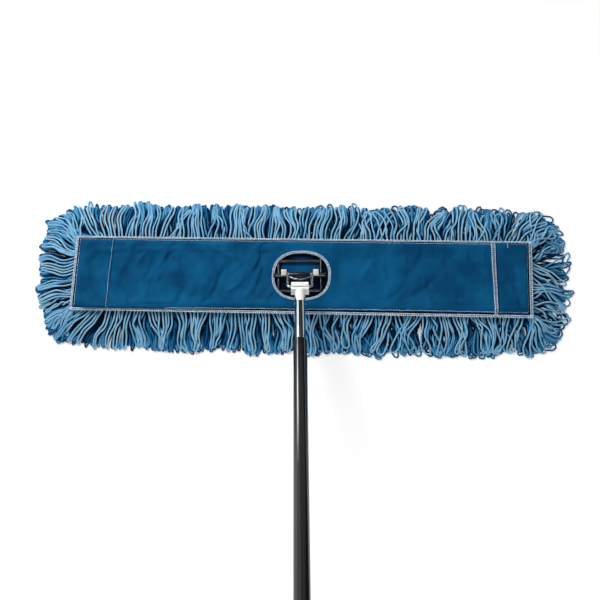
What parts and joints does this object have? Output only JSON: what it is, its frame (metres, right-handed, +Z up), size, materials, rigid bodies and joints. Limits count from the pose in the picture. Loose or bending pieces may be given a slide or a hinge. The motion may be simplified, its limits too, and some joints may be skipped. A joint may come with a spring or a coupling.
{
  "type": "dust mop",
  "caption": "Wide dust mop: a looped-yarn head on a flat wire frame, with a snap clip that tilts and a long straight handle that swivels.",
  "frame": {"origin": "on the floor under the head, at the middle of the yarn pile's underside, straight below the pivot rod", "axes": "+X along the head's length, +Y away from the handle's end, +Z up; the handle leans toward -Y at rest"},
  "size_m": [1.09, 1.4419, 0.9319],
  "materials": {
    "yarn": "matte",
    "canvas": "matte",
    "thread": "matte",
    "frame_wire": "polished",
    "dark_steel": "satin",
    "white_nylon": "satin",
    "white_clip": "satin",
    "plated_steel": "satin",
    "chrome_tube": "polished",
    "black_coat": "gloss",
    "black_plastic": "satin"
  },
  "bodies": {
    "head": {"yarn_pile": "yarn", "fringe_front": "yarn", "fringe_rear": "yarn", "fringe_left": "yarn", "fringe_right": "yarn", "base_cloth": "canvas", "top_canvas": "canvas", "left_pocket": "canvas", "right_pocket": "canvas", "edge_binding": "thread", "opening_binding": "thread", "pocket_binding": "thread", "frame_wire_left": "frame_wire", "frame_wire_right": "frame_wire", "frame_sleeves": "dark_steel", "cross_wire_left": "frame_wire", "cross_wire_right": "frame_wire", "bar_front": "frame_wire", "bar_rear": "frame_wire", "pivot_rod": "frame_wire", "rod_caps": "black_plastic", "left_block": "white_nylon", "right_block": "white_nylon"},
    "bail": {"bail": "frame_wire", "rod_saddle": "dark_steel", "keeper_wire": "frame_wire", "clip_body": "white_clip", "thrust_washer": "white_nylon", "lever_pin": "frame_wire", "lever_spring": "frame_wire"},
    "lever": {"clip_lever": "white_clip"},
    "handle": {"swivel_stud": "plated_steel", "swivel_collar": "white_clip", "collar_rivet": "plated_steel", "socket_tube": "chrome_tube", "handle_bush": "black_plastic", "bush_screw": "plated_steel", "handle_tube": "black_coat", "end_cap": "black_plastic"}
  },
  "joints": [
    {"name": "handle_tilt", "type": "hinge", "parent": "head", "child": "bail", "pos_m": [0, 0, 0.0342], "axis": [-1, 0, 0], "range_deg": [-35.7, 113]},
    {"name": "handle_swivel", "type": "hinge", "parent": "bail", "child": "handle", "pos_m": [0, -0.05885, 0.08981], "axis": [0, -0.8241, 0.5664], "continuous": true},
    {"name": "lever_open", "type": "hinge", "parent": "bail", "child": "lever", "pos_m": [0, -0.0418, 0.07931], "axis": [1, 0, 0], "range_deg": [0, 25], "stiffness_Nm_per_rad": 0.15, "springref_deg": -20.05, "deforming": ["lever_spring"]}
  ]
}
